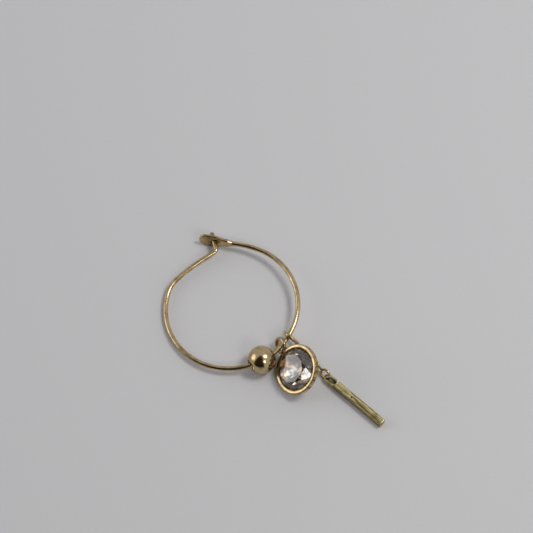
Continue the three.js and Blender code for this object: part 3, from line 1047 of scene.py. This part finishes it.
# ---- the bar ----
EYE = {"left": 0.62, "right": 1.72, "middle": 0.49, "half_wide": 0.125, "low": 0.48, "high": 0.78}
EYE_BLANK = 4.0  # the ring is spun this wide, then each point is carried onto the eye
BAR_START = 2.25
BAR_CORNER = 10.0
BAR_ROUND = 0.14
BAR_STEPS = 150
BAR_SIDES = 64
GROOVE = {"start": 5.6, "end": 10.6, "side": -0.26, "half": 0.3, "depth": 0.025}
RIDGE = {"start": 2.4, "end": 6.6, "side": 0.1, "half": 0.17, "depth": -0.03}
PIT = {"x": 5.2, "y": -0.12, "radius": 0.13, "depth": 0.12}
LINE_RUN_IN, LINE_RUN_OUT = 1.2, 0.25
SLOT_NARROWING = 0.55
EYE_LIFT, EYE_DROP = 0.3, -0.38
EYE_CORNER = 5
# Strengths of the painted shade in the eye's slot and along the sides, and of the painted dark reflection
# in the groove.
EYE_SHADE, GROOVE_REFLECTION, SIDE_SHADE = 0.9, 0.75, 0.45
# Where each of them fades, in millimetres: into the eye's ring, at the groove's start and across it, round
# the pit, and out to the sides.
EYE_FADE, RUN_FADE, GROOVE_FADE, PIT_FADE = (-0.1, 0.02), (-0.4, 0.8), (0.02, 0.24), (0.09, 0.17)
SIDE_FADE = (0.46, 0.56)


def blend_eye(bm, middle):
    """Narrows the slot towards the bar and thickens the eye until it meets the bar's faces."""
    for v in bm.verts:
        nearest = min(max(v.co.x, EYE["left"]), EYE["right"])
        inside = math.hypot(v.co.x - nearest, v.co.y) < EYE["middle"]
        if inside:
            v.co.y *= 1 - SLOT_NARROWING * smoothstep(v.co.x, 0.45, 1.0)
        lift = smoothstep(v.co.x, 0.9, 2.1)
        v.co.z += lift * (EYE_LIFT if v.co.z > middle else EYE_DROP)


def bar_shade_and_reflection(at):
    """Painted shade inside the eye, in the pit and along the bar's two long sides, and a painted dark
    reflection along the groove.
    """
    # Painted shade in the eye's slot.
    if at.x < BAR_START - 0.01:
        nearest = min(max(at.x, EYE["left"]), EYE["right"])
        inner = math.hypot(at.x - nearest, at.y) - EYE["middle"]
        return EYE_SHADE * (1 - smoothstep(inner, *EYE_FADE))
    # Painted dark reflection along the groove.
    groove = GROOVE_REFLECTION * smoothstep(at.x, GROOVE["start"] + RUN_FADE[0], GROOVE["start"] + RUN_FADE[1])
    groove *= 1 - smoothstep(abs(at.y - GROOVE["side"]), *GROOVE_FADE)
    # Painted shade in the pit.
    pit = 1 - smoothstep(math.hypot(at.x - PIT["x"], at.y - PIT["y"]), *PIT_FADE)
    # Painted shade along the long sides.
    sides = SIDE_SHADE * smoothstep(abs(at.y), *SIDE_FADE)
    return max(groove, pit, sides)


class EARRING_OT_bar(bpy.types.Operator):
    """Files the square bar, with its soft dents, groove and pit, and adds the long eye at its end"""

    bl_idname = "earring.add_bar"
    bl_label = "Add Bar"

    def execute(self, context):
        s = context.scene.earring
        half = mm(s.bar.width) / 2
        total = mm(s.bar.length)
        depth = mm(s.bar.hammer)

        def dip(line, x, y):
            """Depth of a line pressed or raised along the top."""
            reach = smoothstep(x, line["start"], line["start"] + LINE_RUN_IN)
            reach *= 1 - smoothstep(x, line["end"] - LINE_RUN_OUT, line["end"])
            return line["depth"] * reach * (1 - smoothstep(abs(y - line["side"]), 0.0, line["half"]))

        def section(x, unit):
            reach = (abs(unit.x) ** BAR_CORNER + abs(unit.y) ** BAR_CORNER) ** (-1 / BAR_CORNER)
            ends = min(rounded_end(away + 0.001, BAR_ROUND) for away in (x - BAR_START, total - x))
            shrink = 1 - (BAR_ROUND / half) * (1 - ends)
            y, z = unit.x * reach * half * shrink, unit.y * reach * half * shrink
            soft = noise.noise(Vector((x / 1.1, y / 0.9 + 7.3, z / 0.9)))
            y *= 1 - (depth / half) * (0.5 + soft)
            z *= 1 - (depth / half) * (0.5 + soft)
            if z > half * 0.75:
                z -= dip(GROOVE, x, y) + dip(RIDGE, x, y)
                away = math.hypot(x - PIT["x"], y - PIT["y"]) / PIT["radius"]
                z -= PIT["depth"] * (1 - smoothstep(away, 0.2, 1.0))
            return Vector((x, y, max(z, -half) + half))

        bm = bmesh.new()
        xs = [BAR_START + (total - BAR_START) * k / BAR_STEPS for k in range(BAR_STEPS + 1)]
        for edge, sign in ((BAR_START, 1), (total, -1)):
            xs += [edge + sign * BAR_ROUND * t for t in (0.03, 0.1, 0.2, 0.35, 0.55, 0.8)]
        xs += [PIT["x"] + PIT["radius"] * t for t in (-0.9, -0.6, -0.3, 0.05, 0.3, 0.6, 0.9)]
        sweep(bm, sorted(xs), BAR_SIDES, section)
        eye = bmesh.new()
        wire_ring(eye, EYE_BLANK, 1.0, 64, sides=24)
        half_high = (EYE["high"] - EYE["low"]) / 2
        for v in eye.verts:
            flat = Vector((v.co.x, v.co.y))
            out = flat.length - EYE_BLANK
            reach = (abs(out) ** EYE_CORNER + abs(v.co.z) ** EYE_CORNER) ** (-1 / EYE_CORNER)
            place = flat.normalized() * (EYE["middle"] + out * reach * EYE["half_wide"])
            v.co = (place.x, place.y, v.co.z * reach * half_high)
        pull_apart(eye, (EYE["right"] - EYE["left"]) / 2)
        middle = ((EYE["right"] + EYE["left"]) / 2, 0, (EYE["high"] + EYE["low"]) / 2)
        bmesh.ops.translate(eye, vec=middle, verts=eye.verts)
        blend_eye(eye, middle[2])
        join(bm, eye)
        painted_shade_and_reflection(bm, bar_shade_and_reflection)
        finish(bm, "bar_with_eye", "bar_pendant", "green_gold", s, bar_place(s))
        return {"FINISHED"}


# ---- the stage ----
CAMERA_TARGET = Vector((0.047, 10.403, 0.0)) * MM
CAMERA_ELEVATION = math.radians(66.0)
CAMERA_ROLL = math.radians(4.0)
CAMERA_DISTANCE = 0.4
CAMERA_LENS = 184.8
SENSOR_WIDTH = 36.0
ROOM_COLOUR = (0.5, 0.5, 0.515, 1.0)
FLOOR_SIZE = 1.6
# The dark figure of someone bending over the table, as directions from the earring: azimuth, elevation.
FIGURE = (
    (208, 2), (235, 0), (262, 0), (284, 1), (286, 22), (289, 45),
    (300, 66), (70, 82), (150, 74), (190, 52), (203, 25),
)
FIGURE_DISTANCE = 0.55
# Name, azimuth and elevation of the light seen from the earring, distance, width, height, radiance, tint.
LAMPS = (
    ("ceiling_lamp", 6.0, 60.6, 0.42, 0.13, 0.13, 13.0, (1.0, 0.99, 0.96)),
    ("desk_lamp", -61.0, 44.0, 0.42, 0.10, 0.10, 6.0, (1.0, 0.97, 0.92)),
    ("window", 173.5, 15.0, 0.6, 0.04, 0.1, 4.2, (0.98, 1.0, 1.0)),
    ("pale_wall", 168.0, 24.0, 0.8, 0.6, 0.5, 1.2, (1.0, 0.95, 0.93)),
)


def camera_axes():
    back = Vector((0.0, -math.cos(CAMERA_ELEVATION), math.sin(CAMERA_ELEVATION)))
    across = Vector((1.0, 0.0, 0.0))
    rise = Vector((0.0, math.sin(CAMERA_ELEVATION), math.cos(CAMERA_ELEVATION)))
    right = across * math.cos(CAMERA_ROLL) - rise * math.sin(CAMERA_ROLL)
    up = across * math.sin(CAMERA_ROLL) + rise * math.cos(CAMERA_ROLL)
    return right, up, back


def direction(azimuth, elevation):
    a, e = math.radians(azimuth), math.radians(elevation)
    return Vector((math.cos(a) * math.cos(e), math.sin(a) * math.cos(e), math.sin(e)))


def add_lamp(name, position, target, width, height, radiance, tint):
    """A soft light of this radiance, aimed at the target."""
    data = bpy.data.lights.new(name, "AREA")
    data.shape = "ELLIPSE"
    data.size = width
    data.size_y = height
    data.energy = radiance * math.pi * math.pi * width * height / 4
    data.color = tint
    lamp = bpy.data.objects.new(name, data)
    lamp.location = position
    lamp.rotation_mode = "QUATERNION"
    lamp.rotation_quaternion = (position - target).to_track_quat("Z", "Y")
    bpy.context.scene.collection.objects.link(lamp)


class EARRING_OT_stage(bpy.types.Operator):
    """Lays the pale board, hangs the soft lights and sets the camera"""

    bl_idname = "earring.add_stage"
    bl_label = "Add Board, Lights and Camera"

    def execute(self, context):
        s = context.scene.earring
        scene = context.scene
        bm = bmesh.new()
        bmesh.ops.create_grid(bm, x_segments=8, y_segments=8, size=FLOOR_SIZE / 2)
        bmesh.ops.translate(bm, vec=CAMERA_TARGET, verts=bm.verts)
        board = add_piece(bm, "board", pale_board(s))

        shade = bmesh.new()
        outline = bmesh.ops.create_circle(shade, cap_ends=True, segments=len(FIGURE), radius=1.0)["verts"]
        for v, way in zip(outline, FIGURE):
            v.co = CAMERA_TARGET + direction(*way) * FIGURE_DISTANCE
        bmesh.ops.triangulate(shade, faces=shade.faces)
        figure = add_piece(shade, "dark_figure", dark_cloth())
        figure.visible_camera = False

        for name, azimuth, elevation, distance, width, height, radiance, tint in LAMPS:
            position = CAMERA_TARGET + direction(azimuth, elevation) * distance
            add_lamp(name, position, CAMERA_TARGET, width, height, radiance, tint)

        world = bpy.data.worlds.new("soft_room")
        world.use_nodes = True
        background = world.node_tree.nodes["Background"]
        background.inputs["Color"].default_value = ROOM_COLOUR
        background.inputs["Strength"].default_value = 1.0
        scene.world = world

        right, up, back = camera_axes()
        data = bpy.data.cameras.new("camera")
        data.lens = CAMERA_LENS
        data.sensor_width = SENSOR_WIDTH
        data.clip_start, data.clip_end = 0.01, 10.0
        camera = bpy.data.objects.new("camera", data)
        camera.location = CAMERA_TARGET + back * CAMERA_DISTANCE
        camera.rotation_euler = Matrix((right, up, back)).transposed().to_euler()
        scene.collection.objects.link(camera)
        scene.camera = camera
        scene.view_settings.view_transform = "Standard"
        return {"FINISHED"}


class EARRING_PT_panel(bpy.types.Panel):
    """Lists the settings and the pieces of the earring"""

    bl_idname = "EARRING_PT_panel"
    bl_label = "Dangle Hoop Earring"
    bl_space_type = "VIEW_3D"
    bl_region_type = "UI"
    bl_category = "Earring"

    def draw(self, context):
        settings = context.scene.earring
        for part in EarringSettings.__annotations__:
            box = self.layout.box()
            box.label(text=part.title())
            for name in getattr(settings, part).__annotations__:
                box.prop(getattr(settings, part), name)
        for operator in OPERATORS:
            self.layout.operator(operator.bl_idname)


OPERATORS = (
    EARRING_OT_hoop, EARRING_OT_bead, EARRING_OT_setting, EARRING_OT_stone,
    EARRING_OT_rings, EARRING_OT_chain, EARRING_OT_bar, EARRING_OT_stage,
)
CLASSES = (
    HoopSettings, BeadSettings, SettingSettings, StoneSettings, RingSettings, ChainSettings,
    BarSettings, FinishSettings, EarringSettings, *OPERATORS, EARRING_PT_panel,
)


def register():
    for cls in CLASSES:
        bpy.utils.register_class(cls)
    bpy.types.Scene.earring = bpy.props.PointerProperty(type=EarringSettings)


def unregister():
    del bpy.types.Scene.earring
    for cls in reversed(CLASSES):
        bpy.utils.unregister_class(cls)


def main():
    register()
    for operator in OPERATORS:
        family, name = operator.bl_idname.split(".")
        getattr(getattr(bpy.ops, family), name)()


if __name__ == "__main__":
    main()
